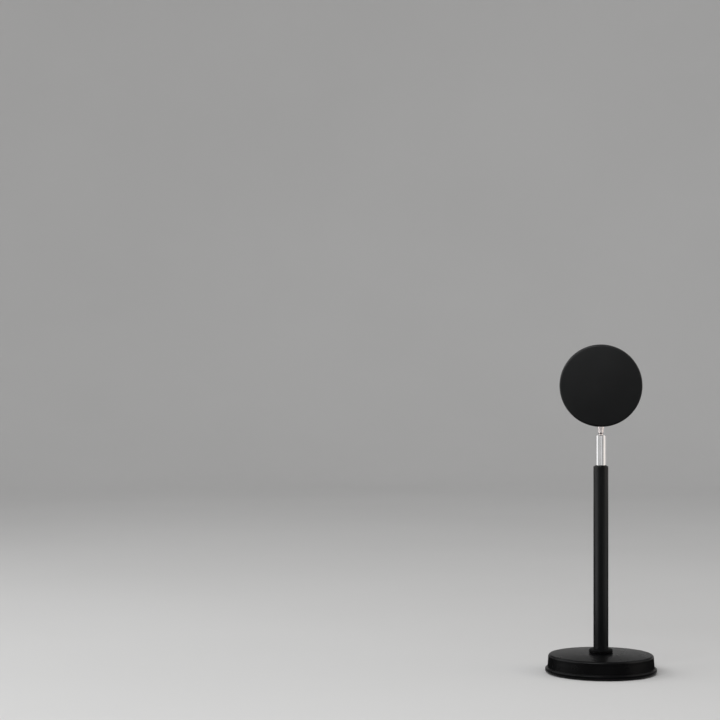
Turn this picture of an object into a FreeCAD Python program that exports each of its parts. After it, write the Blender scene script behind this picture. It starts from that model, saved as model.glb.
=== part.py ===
import FreeCAD, Part
import Sketcher
import math
import os

# Sunset projection lamp: a drum head on a ball swivel, a straight tubular pole
# and a weighted round base.
#
# Frame: millimetres, +Z up, origin at the middle of the underside of the base.
# The beam leaves the head towards +Y; the closed flat back of the head faces -Y.
# The cord inlet is in the base's side wall, on the +Y side.

Vec = FreeCAD.Vector
Rot = FreeCAD.Rotation
Place = FreeCAD.Placement

doc = FreeCAD.newDocument("SunsetLamp")

# ---------------------------------------------------------------------------
# Driving dimensions
# ---------------------------------------------------------------------------

DIMENSIONS = [
    # base
    ("pad_rad", 43.0, "foot pad radius"),
    ("pad_thk", 1.2, "foot pad thickness"),
    ("plate_rad", 43.9, "bottom plate radius"),
    ("plate_thk", 1.5, "bottom plate thickness"),
    ("lip_rad", 46.3, "base lip radius"),
    ("lip_low", 0.9, "height of the lip's lower edge"),
    ("lip_high", 4.3, "height of the lip's upper edge"),
    ("lip_round", 1.4, "rounding of the lip's upper edge"),
    ("side_low_rad", 44.35, "side wall radius just above the lip"),
    ("side_high_rad", 43.8, "side wall radius under the top edge"),
    ("rim_z", 15.4, "height of the top face at its edge"),
    ("edge_round", 2.0, "rounding of the top edge"),
    ("land_z", 16.8, "height of the flat land under the collar"),
    ("land_rad", 10.2, "radius of the flat land"),
    ("shell_wall", 1.7, "base cover wall"),
    ("shell_top", 2.0, "base cover thickness at the middle"),
    ("stem_hole", 4.15, "hole in the cover for the threaded stem"),
    ("weight_rad", 40.9, "ballast ring outer radius"),
    ("weight_bore", 10.5, "ballast ring bore radius"),
    ("weight_top", 12.4, "height of the ballast's upper face"),
    ("channel_half", 5.0, "half width of the lead's channel"),
    ("base_pcr", 32.5, "pitch radius of the base screws"),
    ("base_boss", 3.3, "screw boss radius"),
    ("base_shank", 1.45, "base screw shank radius"),
    ("base_head", 2.8, "base screw head radius"),
    ("base_count", 3, "number of base screws"),
    ("inlet_z", 8.5, "height of the cord inlet"),
    ("inlet_bore", 1.8, "cord inlet bore radius"),
    ("inlet_body", 2.6, "grommet waist radius"),
    ("inlet_flange", 3.4, "grommet flange radius"),
    ("inlet_in", 41.2, "inner face of the wall at the inlet"),
    ("inlet_out", 43.1, "outer face of the wall at the inlet"),
    # pole
    ("pole_rad", 6.2, "pole outside radius"),
    ("pole_wall", 1.4, "pole wall"),
    ("pole_top", 172.0, "height of the pole's upper end"),
    ("collar_rad", 9.8, "collar radius"),
    ("collar_thk", 3.3, "collar height"),
    ("collar_round", 1.3, "rounding of the collar's upper edge"),
    ("stem_rad", 4.0, "threaded stem radius"),
    ("stem_bore", 2.4, "threaded stem bore radius"),
    ("stem_low", 7.6, "height of the stem's lower end"),
    ("stem_plug", 12.0, "depth of the stem's plug in the pole"),
    ("washer_rad", 7.5, "base washer radius"),
    ("washer_thk", 0.8, "base washer thickness"),
    ("nut_flats", 13.0, "base nut across flats"),
    ("nut_thk", 4.2, "base nut thickness"),
    # swivel
    ("spigot_rad", 3.1, "turning spigot radius"),
    ("spigot_bore", 1.3, "turning spigot bore radius"),
    ("spigot_top", 181.5, "height of the spigot's end"),
    ("groove_rad", 2.5, "spigot groove radius"),
    ("groove_z", 177.0, "height of the groove's middle"),
    ("groove_half", 1.1, "half width of the groove"),
    ("socket_rad", 4.2, "socket outside radius"),
    ("socket_bore", 3.15, "socket bore radius, also the ball cavity's"),
    ("socket_low", 172.55, "height of the socket's lower end"),
    ("socket_top", 197.7, "height of the socket's rim"),
    ("ball_z", 193.6, "height of the ball's centre"),
    ("ball_rad", 3.1, "ball radius"),
    ("lip_rise", 1.55, "retaining lip above the ball's centre"),
    ("flare_rad", 3.75, "radius of the flared mouth at the rim"),
    ("slot_half", 1.75, "half width of the socket's slot"),
    ("grub_rad", 1.0, "grub screw radius"),
    ("waist_rad", 1.5, "stud radius just above the ball"),
    ("stud_bore", 0.8, "stud bore radius"),
    ("bead_rad", 2.2, "stud radius under the head"),
    ("bead_low", 198.5, "height of the rounded lower end of the stud's body"),
    ("seat_rad", 2.6, "radius of the stud's shoulder"),
    ("seat_thk", 2.6, "thickness of the stud's shoulder"),
    ("thread_rad", 2.0, "stud's upper thread radius"),
    ("thread_top", 213.4, "height of the stud's upper end"),
    # head
    ("head_rad", 33.9, "drum radius"),
    ("head_z", 239.3, "height of the drum's axis"),
    ("head_in", 31.4, "drum inside radius"),
    ("back_y", -24.0, "rear face of the drum"),
    ("back_round", 1.5, "rounding of the rear edge"),
    ("back_thk", 2.0, "rear cover thickness"),
    ("back_seam", -16.0, "joint line of the rear cover"),
    ("back_thread", 32.6, "radius of the rear cover's thread"),
    ("back_spigot", -20.0, "end of the drum's rear spigot"),
    ("front_seam", 20.0, "joint line of the front bezel"),
    ("front_y", 24.0, "front face of the bezel"),
    ("ledge_in", 27.5, "inner radius of the drum's ledges"),
    ("ledge_front", 8.5, "front face of the front ledge"),
    ("ledge_back", -12.0, "rear face of the rear ledge"),
    ("ledge_thk", 2.0, "ledge thickness"),
    ("boss_in", 30.7, "distance of the stud boss's inner face from the axis"),
    ("boss_rad", 5.0, "stud boss radius"),
    ("spot_in", 33.75, "distance of the stud's seat from the axis"),
    ("stud_hole", 2.05, "stud hole radius in the drum"),
    ("bezel_open", 27.6, "bezel opening radius"),
    ("bezel_in", 30.2, "bezel bore radius"),
    ("lens_rad", 30.1, "lens radius"),
    ("lens_flat", 28.0, "radius where the lens dome starts"),
    ("lens_back", 17.3, "flat rear face of the lens"),
    ("lens_edge", 20.5, "front face of the lens edge"),
    ("dome_rad", 70.0, "spherical radius of the lens"),
    ("gasket_thk", 0.7, "lens gasket thickness"),
    ("keeper_thk", 1.6, "lens retaining ring thickness"),
    ("cone_small", 6.2, "reflector's small inner radius"),
    ("cone_large", 22.0, "reflector's large inner radius"),
    ("cone_wall", 1.2, "reflector wall"),
    ("cone_back", -10.2, "rear end of the reflector"),
    ("filter_rad", 24.1, "colour filter radius"),
    ("filter_thk", 1.0, "colour filter thickness"),
    ("screw_pcr", 29.4, "pitch radius of the screws in the drum"),
    ("small_shank", 1.0, "small screw shank radius"),
    ("sink_rad", 31.2, "heat sink radius"),
    ("sink_thk", 3.0, "heat sink plate thickness"),
    ("fin_len", 5.6, "heat sink fin length"),
    ("fin_thk", 1.4, "heat sink fin thickness"),
    ("fin_pitch", 5.6, "heat sink fin pitch"),
    ("sink_shank", 1.25, "heat sink screw shank radius"),
    ("board_rad", 13.5, "light board radius"),
    ("board_thk", 1.6, "light board thickness"),
    ("chip_rad", 5.8, "light chip radius"),
    ("board_pcr", 10.8, "pitch radius of the light board screws"),
    ("lead_pole", 1.0, "radius of the lead in the pole"),
    ("lead_head", 0.7, "radius of the lead in the head"),
]

sheet = doc.addObject("Spreadsheet::Sheet", "Dims")
VALUE = {}
for row, (alias, value, note) in enumerate(DIMENSIONS, start=1):
    sheet.set("A%d" % row, note)
    sheet.set("B%d" % row, repr(value))
    sheet.setAlias("B%d" % row, alias)
    VALUE[alias] = float(value)
doc.recompute()


class Q(object):
    """A size: its number and the sheet expression that gives it."""

    def __init__(self, v, x):
        self.v = float(v)
        self.x = x

    def __add__(self, o):
        o = q(o)
        return Q(self.v + o.v, "(%s + %s)" % (self.x, o.x))

    __radd__ = __add__

    def __sub__(self, o):
        o = q(o)
        return Q(self.v - o.v, "(%s - %s)" % (self.x, o.x))

    def __rsub__(self, o):
        return q(o) - self

    def __mul__(self, o):
        o = q(o)
        return Q(self.v * o.v, "(%s * %s)" % (self.x, o.x))

    __rmul__ = __mul__

    def __truediv__(self, o):
        o = q(o)
        return Q(self.v / o.v, "(%s / %s)" % (self.x, o.x))

    def __neg__(self):
        return Q(-self.v, "(-1 * %s)" % self.x)


def q(o):
    if isinstance(o, Q):
        return o
    return Q(o, "%.6f" % o if o >= 0 else "(%.6f)" % o)


def root(o):
    return Q(math.sqrt(o.v), "sqrt(%s)" % o.x)


def D(alias):
    return Q(VALUE[alias], "Dims.%s" % alias)


NODES = []


def node(obj, label):
    obj.Label = label
    NODES.append(obj)
    return obj


def origin_item(body, role):
    for item in body.Origin.OriginFeatures:
        if item.Role == role:
            return item
    raise RuntimeError("no " + role)


def new_body(label, base=None, turn=None):
    """A body with its own Label; base is where its own origin stands."""
    body = doc.addObject("PartDesign::Body", label)
    node(body, label)
    if turn is not None:
        body.Placement = Place(Vec(0, 0, 0), turn)
    if base is not None:
        for axis, size in zip("xyz", base):
            size = q(size)
            setattr(body.Placement.Base, axis, size.v)
        p = body.Placement
        body.Placement = Place(Vec(q(base[0]).v, q(base[1]).v, q(base[2]).v), p.Rotation)
        for axis, size in zip("xyz", base):
            if isinstance(size, Q):
                body.setExpression("Placement.Base." + axis, size.x)
    return body


def new_sketch(body, name, role="XZ_Plane", shift=None):
    sk = body.newObject("Sketcher::SketchObject", body.Name + "_" + name)
    sk.AttachmentSupport = (origin_item(body, role), [""])
    sk.MapMode = "FlatFace"
    if shift is not None:
        shift = q(shift)
        sk.AttachmentOffset = Place(Vec(0, 0, shift.v), Rot())
        sk.setExpression("AttachmentOffset.Base.z", shift.x)
    return sk


def bind(sk, index, size):
    if isinstance(size, Q):
        sk.setExpression("Constraints[%d]" % index, size.x)


def fix_point(sk, geo, pos, x, y):
    x, y = (q(x) if not isinstance(x, Q) else x), (q(y) if not isinstance(y, Q) else y)
    if abs(x.v) < 1e-9:
        sk.addConstraint(Sketcher.Constraint("PointOnObject", geo, pos, -2))
    else:
        bind(sk, sk.addConstraint(Sketcher.Constraint("DistanceX", -1, 1, geo, pos, x.v)), x)
    if abs(y.v) < 1e-9:
        sk.addConstraint(Sketcher.Constraint("PointOnObject", geo, pos, -1))
    else:
        bind(sk, sk.addConstraint(Sketcher.Constraint("DistanceY", -1, 1, geo, pos, y.v)), y)


def outline(sk, points):
    """Closed outline. A point is (x, y), or (x, y, radius, side) when the edge
    that leaves it is an arc; side is +1 where the arc bulges to the left of
    the chord and -1 where it bulges to the right."""
    pts = []
    for p in points:
        pts.append((q(p[0]), q(p[1])) + tuple(p[2:]))
    n = len(pts)
    ends = []
    first = sk.GeometryCount
    for i in range(n):
        a, b = pts[i], pts[(i + 1) % n]
        pa, pb = Vec(a[0].v, a[1].v, 0), Vec(b[0].v, b[1].v, 0)
        if len(a) == 2:
            sk.addGeometry(Part.LineSegment(pa, pb))
            ends.append((1, 2))
        else:
            rad, side = q(a[2]), a[3]
            chord = pb - pa
            half = chord.Length / 2.0
            left = Vec(-chord.y, chord.x, 0)
            left.normalize()
            off = math.sqrt(max(rad.v ** 2 - half ** 2, 0.0))
            mid = (pa + pb) * 0.5
            top = mid + left * (side * (rad.v - off))
            if (top - pa).cross(pb - top).z > 0:
                sk.addGeometry(Part.Arc(pa, top, pb))
                ends.append((1, 2))
            else:
                sk.addGeometry(Part.Arc(pb, top, pa))
                ends.append((2, 1))
    for i in range(n):
        j = (i + 1) % n
        sk.addConstraint(Sketcher.Constraint("Coincident", first + i, ends[i][1], first + j, ends[j][0]))
    for i in range(n):
        fix_point(sk, first + i, ends[i][0], pts[i][0], pts[i][1])
        if len(pts[i]) > 2:
            rad = q(pts[i][2])
            bind(sk, sk.addConstraint(Sketcher.Constraint("Radius", first + i, rad.v)), rad)
    return first


def ring(sk, x, y, rad):
    x, y, rad = q(x), q(y), q(rad)
    geo = sk.addGeometry(Part.Circle(Vec(x.v, y.v, 0), Vec(0, 0, 1), rad.v))
    fix_point(sk, geo, 3, x, y)
    bind(sk, sk.addConstraint(Sketcher.Constraint("Radius", geo, rad.v)), rad)
    return geo


def hexagon(sk, x, y, flats, lean=0.0):
    x, y, flats = q(x), q(y), q(flats)
    pts = []
    for k in range(6):
        ang = math.radians(lean + 60 * k)
        pts.append((x + flats * (math.cos(ang) / math.sqrt(3)), y + flats * (math.sin(ang) / math.sqrt(3))))
    outline(sk, pts)


def turned(body, name, points, axis_x=None):
    """A piece turned about its own Z axis, or about a line parallel to it."""
    sk = new_sketch(body, name)
    outline(sk, points)
    rev = body.newObject("PartDesign::Revolution", body.Name + "_" + name + "_turn")
    rev.Profile = sk
    if axis_x is None:
        rev.ReferenceAxis = (sk, ["V_Axis"])
    else:
        axis_x = q(axis_x)
        geo = sk.addGeometry(Part.LineSegment(Vec(axis_x.v, -60, 0), Vec(axis_x.v, 60, 0)), True)
        fix_point(sk, geo, 1, axis_x, -60)
        fix_point(sk, geo, 2, axis_x, 60)
        rev.ReferenceAxis = (sk, ["Axis0"])
    rev.Angle = 360
    body.Tip = rev
    return rev


def pad(body, name, draw, length, role="XY_Plane", shift=None, back=False):
    sk = new_sketch(body, name, role, shift)
    draw(sk)
    f = body.newObject("PartDesign::Pad", body.Name + "_" + name + "_pad")
    f.Profile = sk
    length = q(length)
    f.Length = length.v
    f.setExpression("Length", length.x)
    f.Reversed = back
    body.Tip = f
    return f


def cut(body, name, draw, length, role="XY_Plane", shift=None, back=False):
    """A pocket; it must take material away."""
    doc.recompute()
    before = body.Shape.Volume
    sk = new_sketch(body, name, role, shift)
    draw(sk)
    f = body.newObject("PartDesign::Pocket", body.Name + "_" + name + "_cut")
    f.Profile = sk
    length = q(length)
    f.Length = length.v
    f.setExpression("Length", length.x)
    f.Reversed = back
    body.Tip = f
    doc.recompute()
    if not body.Shape.Volume < before - 1e-3:
        raise RuntimeError("%s %s cuts nothing" % (body.Label, name))
    return f


def groove(body, name, points, axis_x):
    """A turned pocket about a line parallel to the body's Z axis."""
    doc.recompute()
    before = body.Shape.Volume
    sk = new_sketch(body, name)
    outline(sk, points)
    axis_x = q(axis_x)
    geo = sk.addGeometry(Part.LineSegment(Vec(axis_x.v, -60, 0), Vec(axis_x.v, 60, 0)), True)
    fix_point(sk, geo, 1, axis_x, -60)
    fix_point(sk, geo, 2, axis_x, 60)
    f = body.newObject("PartDesign::Groove", body.Name + "_" + name + "_groove")
    f.Profile = sk
    f.ReferenceAxis = (sk, ["Axis0"])
    f.Angle = 360
    body.Tip = f
    doc.recompute()
    if not body.Shape.Volume < before - 1e-3:
        raise RuntimeError("%s %s cuts nothing" % (body.Label, name))
    return f


def around(body, feature, count, name):
    """The feature repeated evenly about the body's Z axis."""
    pp = body.newObject("PartDesign::PolarPattern", body.Name + "_" + name + "_round")
    pp.Originals = [feature]
    pp.Axis = (origin_item(body, "Z_Axis"), [""])
    pp.Angle = 360
    pp.Occurrences = int(round(q(count).v))
    if isinstance(count, Q):
        pp.setExpression("Occurrences", count.x)
    body.Tip = pp
    return pp


# ---------------------------------------------------------------------------
# Base
# ---------------------------------------------------------------------------

plate_top = D("pad_thk") + D("plate_thk")

# Soft pad under the base; its lower face is the face the lamp rests on.
foot_pad = new_body("foot_pad")
turned(foot_pad, "disc", [
    (0, 0),
    (D("pad_rad") - 0.3, 0),
    (D("pad_rad"), 0.3),
    (D("pad_rad"), D("pad_thk")),
    (0, D("pad_thk")),
])

# Steel plate that closes the base, with countersunk screw holes.
base_bottom_plate = new_body("base_bottom_plate")
turned(base_bottom_plate, "disc", [
    (0, D("pad_thk")),
    (D("plate_rad"), D("pad_thk")),
    (D("plate_rad"), plate_top),
    (0, plate_top),
])
sink = groove(base_bottom_plate, "sunk", [
    (D("base_pcr"), D("pad_thk")),
    (D("base_pcr") + D("base_head"), D("pad_thk")),
    (D("base_pcr") + D("base_shank"), D("pad_thk") + D("base_head") - D("base_shank")),
    (D("base_pcr") + D("base_shank"), plate_top),
    (D("base_pcr"), plate_top),
], D("base_pcr"))
around(base_bottom_plate, sink, D("base_count"), "sunk")

# Cover: a lip at the foot, a side wall that leans in, a rounded top edge and a
# top face that rises a little to a flat land under the collar.
base_shell = new_body("base_shell")
inner_low = D("side_low_rad") - D("shell_wall")
inner_high = D("side_high_rad") - D("shell_wall")
under_rim = D("rim_z") - D("shell_wall")
under_land = D("land_z") - D("shell_top")
turned(base_shell, "wall", [
    (D("plate_rad"), D("lip_low")),
    (D("lip_rad") - 0.5, D("lip_low"), 0.5, -1),
    (D("lip_rad"), D("lip_low") + 0.5),
    (D("lip_rad"), D("lip_high") - D("lip_round"), D("lip_round"), -1),
    (D("lip_rad") - D("lip_round"), D("lip_high")),
    (D("side_low_rad"), D("lip_high")),
    (D("side_high_rad"), D("rim_z") - D("edge_round"), D("edge_round"), -1),
    (D("side_high_rad") - D("edge_round"), D("rim_z")),
    (D("land_rad"), D("land_z")),
    (D("stem_hole"), D("land_z")),
    (D("stem_hole"), under_land),
    (D("land_rad"), under_land),
    (inner_high, under_rim),
    (inner_low, plate_top + 0.6),
    (inner_low, plate_top),
    (D("plate_rad"), plate_top),
])
boss = pad(base_shell, "boss", lambda sk: ring(sk, D("base_pcr"), 0, D("base_boss")),
           under_rim + 0.5 - plate_top, "XY_Plane", plate_top)
around(base_shell, boss, D("base_count"), "boss")
pilot = cut(base_shell, "pilot", lambda sk: ring(sk, D("base_pcr"), 0, D("base_shank")),
            8.2, "XY_Plane", plate_top, back=True)
around(base_shell, pilot, D("base_count"), "pilot")
# flat seat for the cord grommet in the side wall
pad(base_shell, "inlet_seat", lambda sk: ring(sk, 0, D("inlet_z"), D("inlet_flange") + 0.3),
    D("inlet_out") - D("inlet_in") - 0.1, "XZ_Plane", -(D("inlet_out") - 0.1))
cut(base_shell, "inlet_spot", lambda sk: ring(sk, 0, D("inlet_z"), D("inlet_flange") + 0.1),
    4.0, "XZ_Plane", -D("inlet_out"))
cut(base_shell, "inlet_hole", lambda sk: ring(sk, 0, D("inlet_z"), D("inlet_body")),
    6.0, "XZ_Plane", -(D("inlet_in") - 1.0))

# Cast ballast ring, with room for the screw bosses and a channel for the lead.
base_weight = new_body("base_weight")
turned(base_weight, "ring", [
    (D("weight_bore"), plate_top),
    (D("weight_rad") - 0.6, plate_top),
    (D("weight_rad"), plate_top + 0.6),
    (D("weight_rad") - 0.2, D("weight_top") - 1.0),
    (D("weight_rad") - 1.2, D("weight_top")),
    (D("weight_bore") + 0.8, D("weight_top")),
    (D("weight_bore"), D("weight_top") - 0.8),
])
room = cut(base_weight, "boss_room", lambda sk: ring(sk, D("base_pcr"), 0, D("base_boss") + 0.5),
           20.0, "XY_Plane", None, back=True)
around(base_weight, room, D("base_count"), "boss_room")
cut(base_weight, "channel", lambda sk: outline(sk, [
    (-D("channel_half"), 6.0), (D("channel_half"), 6.0),
    (D("channel_half"), 50.0), (-D("channel_half"), 50.0)]),
    20.0, "XY_Plane", None, back=True)

# Countersunk screws that hold the plate to the cover's bosses.
base_screws = new_body("base_screws")
screw = turned(base_screws, "screw", [
    (D("base_pcr"), D("pad_thk") + 0.8),
    (D("base_pcr") + 0.7, D("pad_thk") + 0.8),
    (D("base_pcr") + 0.7, D("pad_thk") + 0.05),
    (D("base_pcr") + D("base_head") - 0.05, D("pad_thk") + 0.05),
    (D("base_pcr") + D("base_shank"), D("pad_thk") + D("base_head") - D("base_shank")),
    (D("base_pcr") + D("base_shank"), plate_top + 6.6),
    (D("base_pcr") + D("base_shank") - 0.6, plate_top + 7.2),
    (D("base_pcr"), plate_top + 7.2),
], D("base_pcr"))
around(base_screws, screw, D("base_count"), "screw")

# Rubber grommet of the cord inlet: its local Z axis is the lamp's +Y.
LAY = Rot(Vec(1, 0, 0), -90)
cord_grommet = new_body("cord_grommet", (0, 0, D("inlet_z")), LAY)
turned(cord_grommet, "ring", [
    (D("inlet_bore"), D("inlet_in") - 1.0),
    (D("inlet_flange") - 0.3, D("inlet_in") - 1.0),
    (D("inlet_flange"), D("inlet_in") - 0.7),
    (D("inlet_flange"), D("inlet_in")),
    (D("inlet_body"), D("inlet_in")),
    (D("inlet_body"), D("inlet_out")),
    (D("inlet_flange"), D("inlet_out")),
    (D("inlet_flange"), D("inlet_out") + 0.7, 0.5, -1),
    (D("inlet_flange") - 0.5, D("inlet_out") + 1.2),
    (D("inlet_bore"), D("inlet_out") + 1.2),
])

# ---------------------------------------------------------------------------
# Pole
# ---------------------------------------------------------------------------

pole_bore = D("pole_rad") - D("pole_wall")

pole = new_body("pole")
turned(pole, "tube", [
    (pole_bore, D("land_z")),
    (D("pole_rad"), D("land_z")),
    (D("pole_rad"), D("pole_top") - 0.4, 0.4, -1),
    (D("pole_rad") - 0.4, D("pole_top")),
    (pole_bore, D("pole_top")),
])

# Ring that covers the joint of pole and base.
pole_collar = new_body("pole_collar")
turned(pole_collar, "ring", [
    (D("pole_rad"), D("land_z")),
    (D("collar_rad"), D("land_z")),
    (D("collar_rad"), D("land_z") + D("collar_thk") - D("collar_round"), D("collar_round"), -1),
    (D("collar_rad") - D("collar_round"), D("land_z") + D("collar_thk")),
    (D("pole_rad"), D("land_z") + D("collar_thk")),
])

# Hollow threaded stem: a plug fixed in the pole, and a thread through the cover.
pole_stem = new_body("pole_stem")
turned(pole_stem, "stem", [
    (D("stem_bore"), D("stem_low")),
    (D("stem_rad") - 0.4, D("stem_low")),
    (D("stem_rad"), D("stem_low") + 0.4),
    (D("stem_rad"), D("land_z")),
    (pole_bore, D("land_z")),
    (pole_bore, D("land_z") + D("stem_plug")),
    (D("stem_bore"), D("land_z") + D("stem_plug")),
])

stem_washer = new_body("stem_washer")
turned(stem_washer, "ring", [
    (D("stem_rad"), under_land - D("washer_thk")),
    (D("washer_rad"), under_land - D("washer_thk")),
    (D("washer_rad"), under_land),
    (D("stem_rad"), under_land),
])

stem_nut = new_body("stem_nut")
nut_low = under_land - D("washer_thk") - D("nut_thk")


def draw_stem_nut(sk):
    hexagon(sk, 0, 0, D("nut_flats"))
    ring(sk, 0, 0, D("stem_rad"))


pad(stem_nut, "hex", draw_stem_nut, D("nut_thk"), "XY_Plane", nut_low)

# Insert in the pole's upper end, with a thin shoulder and the spigot that the
# socket turns on; the groove takes the tip of the grub screw.
pole_top_insert = new_body("pole_top_insert")
turned(pole_top_insert, "insert", [
    (D("spigot_bore"), D("pole_top") - 12.0),
    (pole_bore, D("pole_top") - 12.0),
    (pole_bore, D("pole_top")),
    (5.2, D("pole_top")),
    (5.2, D("pole_top") + 0.5),
    (D("spigot_rad"), D("pole_top") + 0.5),
    (D("spigot_rad"), D("groove_z") - D("groove_half")),
    (D("groove_rad"), D("groove_z") - D("groove_half")),
    (D("groove_rad"), D("groove_z") + D("groove_half")),
    (D("spigot_rad"), D("groove_z") + D("groove_half")),
    (D("spigot_rad"), D("spigot_top") - 0.3),
    (D("spigot_rad") - 0.3, D("spigot_top")),
    (D("spigot_bore"), D("spigot_top")),
])

# ---------------------------------------------------------------------------
# Swivel
# ---------------------------------------------------------------------------

# Socket: a bore that runs on the spigot, a ball cavity closed by a lip, a
# flared mouth, and a slot on the +Y side that lets the stud swing level.
lip_rad_in = root(D("socket_bore") * D("socket_bore") - D("lip_rise") * D("lip_rise"))
swivel_socket = new_body("swivel_socket")
turned(swivel_socket, "cup", [
    (D("socket_bore"), D("socket_low")),
    (D("socket_rad") - 0.3, D("socket_low")),
    (D("socket_rad"), D("socket_low") + 0.3),
    (D("socket_rad"), D("socket_top") - 0.35, 0.35, -1),
    (D("socket_rad") - 0.35, D("socket_top")),
    (D("flare_rad"), D("socket_top")),
    (lip_rad_in, D("ball_z") + D("lip_rise"), D("socket_bore"), 1),
    (D("socket_bore"), D("ball_z")),
])
# the arc above bulges away from the axis, as the cavity's upper part
cut(swivel_socket, "slot", lambda sk: outline(sk, [
    (-D("slot_half"), D("ball_z"), D("slot_half"), -1),
    (0, D("ball_z") - D("slot_half"), D("slot_half"), -1),
    (D("slot_half"), D("ball_z")),
    (D("slot_half"), D("socket_top") + 1.0),
    (-D("slot_half"), D("socket_top") + 1.0)]),
    6.0, "XZ_Plane", -0.5)
cut(swivel_socket, "grub_hole", lambda sk: ring(sk, 0, D("groove_z"), D("grub_rad")),
    3.0, "XZ_Plane", -2.7)

socket_grub_screw = new_body("socket_grub_screw", (0, 0, D("groove_z")), LAY)
turned(socket_grub_screw, "screw", [
    (0, D("groove_rad") + 0.15),
    (D("grub_rad") - 0.25, D("groove_rad") + 0.15),
    (D("grub_rad"), D("groove_rad") + 0.4),
    (D("grub_rad"), D("socket_rad") - 0.2),
    (0, D("socket_rad") - 0.2),
])
cut(socket_grub_screw, "key", lambda sk: hexagon(sk, 0, 0, 0.9), 0.8,
    "XY_Plane", D("socket_rad") - 0.2)

# Nylon cup that the ball turns on, and the rubber bush that presses it up.
ball_seat = new_body("ball_seat")
seat_top = D("ball_z") - 2.0
turned(ball_seat, "cup", [
    (1.0, D("ball_z") - 6.4),
    (D("socket_bore") - 0.05, D("ball_z") - 6.4),
    (D("socket_bore") - 0.05, seat_top),
    (root(D("socket_bore") * D("socket_bore") - 4.0), seat_top, D("socket_bore"), 1),
    (1.0, D("ball_z") - root(D("socket_bore") * D("socket_bore") - 1.0)),
])

seat_bush = new_body("seat_bush")
turned(seat_bush, "tube", [
    (1.5, D("spigot_top") + 0.4),
    (D("socket_bore") - 0.15, D("spigot_top") + 0.4),
    (D("socket_bore") - 0.15, D("ball_z") - 6.4),
    (1.5, D("ball_z") - 6.4),
])

# Ball stud: ball, waist, rounded body, shoulder under the head, hollow thread.
shoulder_top = D("head_z") - D("spot_in") - 0.03
bead_centre = D("bead_low") + D("bead_rad")
ball_stud = new_body("ball_stud")
turned(ball_stud, "stud", [
    (D("stud_bore"), D("ball_z") - root(D("ball_rad") * D("ball_rad") - D("stud_bore") * D("stud_bore")), D("ball_rad"), -1),
    (D("waist_rad"), D("ball_z") + root(D("ball_rad") * D("ball_rad") - D("waist_rad") * D("waist_rad"))),
    (D("waist_rad"), bead_centre - root(D("bead_rad") * D("bead_rad") - D("waist_rad") * D("waist_rad")), D("bead_rad"), -1),
    (D("bead_rad"), bead_centre),
    (D("bead_rad"), shoulder_top - D("seat_thk")),
    (D("seat_rad"), shoulder_top - D("seat_thk") + 0.2),
    (D("seat_rad"), shoulder_top),
    (D("thread_rad"), shoulder_top),
    (D("thread_rad"), D("thread_top") - 0.3),
    (D("thread_rad") - 0.3, D("thread_top")),
    (D("stud_bore"), D("thread_top")),
])

boss_top = D("head_z") - D("boss_in")
stud_washer = new_body("stud_washer")
turned(stud_washer, "ring", [
    (D("thread_rad"), boss_top + 0.03),
    (4.2, boss_top + 0.03),
    (4.2, boss_top + 0.53),
    (D("thread_rad"), boss_top + 0.53),
])

# Dished spring washer that keeps the head's turn stiff.
stud_spring_washer = new_body("stud_spring_washer")
turned(stud_spring_washer, "dish", [
    (D("thread_rad"), boss_top + 0.83),
    (3.7, boss_top + 0.53),
    (3.7, boss_top + 0.93),
    (D("thread_rad"), boss_top + 1.23),
])

stud_nut = new_body("stud_nut")


def draw_stud_nut(sk):
    hexagon(sk, 0, 0, 7.0)
    ring(sk, 0, 0, D("thread_rad"))


pad(stud_nut, "hex", draw_stud_nut, 3.0, "XY_Plane", boss_top + 1.23)

# ---------------------------------------------------------------------------
# Head: each body's local Z axis is the lamp's +Y, its local +Y is down
# ---------------------------------------------------------------------------

HEAD = (0, 0, D("head_z"))

head_shell = new_body("head_shell", HEAD, LAY)
turned(head_shell, "drum", [
    (D("head_in"), D("back_spigot")),
    (D("back_thread"), D("back_spigot")),
    (D("back_thread"), D("back_seam")),
    (D("head_rad") - 0.3, D("back_seam")),
    (D("head_rad"), D("back_seam") + 0.3),
    (D("head_rad"), D("front_seam") - 0.3),
    (D("head_rad") - 0.3, D("front_seam")),
    (D("head_in"), D("front_seam")),
    (D("head_in"), D("ledge_front")),
    (D("ledge_in"), D("ledge_front")),
    (D("ledge_in"), D("ledge_front") - D("ledge_thk")),
    (D("head_in"), D("ledge_front") - D("ledge_thk")),
    (D("head_in"), D("ledge_back") + D("ledge_thk")),
    (D("ledge_in"), D("ledge_back") + D("ledge_thk")),
    (D("ledge_in"), D("ledge_back")),
    (D("head_in"), D("ledge_back")),
])
pad(head_shell, "boss", lambda sk: ring(sk, 0, 0, D("boss_rad")),
    2.0, "XZ_Plane", -(D("boss_in") + 2.0))
cut(head_shell, "spot", lambda sk: ring(sk, 0, 0, D("seat_rad") + 0.4),
    2.0, "XZ_Plane", -D("spot_in"))
cut(head_shell, "stud_hole", lambda sk: ring(sk, 0, 0, D("stud_hole")),
    8.0, "XZ_Plane", -(D("boss_in") - 2.0))
front_pilot = cut(head_shell, "front_pilot", lambda sk: ring(sk, D("screw_pcr"), 0, D("small_shank")),
                  D("ledge_thk") + 1.0, "XY_Plane", D("ledge_front"))
around(head_shell, front_pilot, 3, "front_pilot")
back_pilot = cut(head_shell, "back_pilot", lambda sk: ring(sk, D("screw_pcr"), 0, D("sink_shank")),
                 D("ledge_thk") + 1.0, "XY_Plane", D("ledge_back"), back=True)
around(head_shell, back_pilot, 3, "back_pilot")

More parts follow.
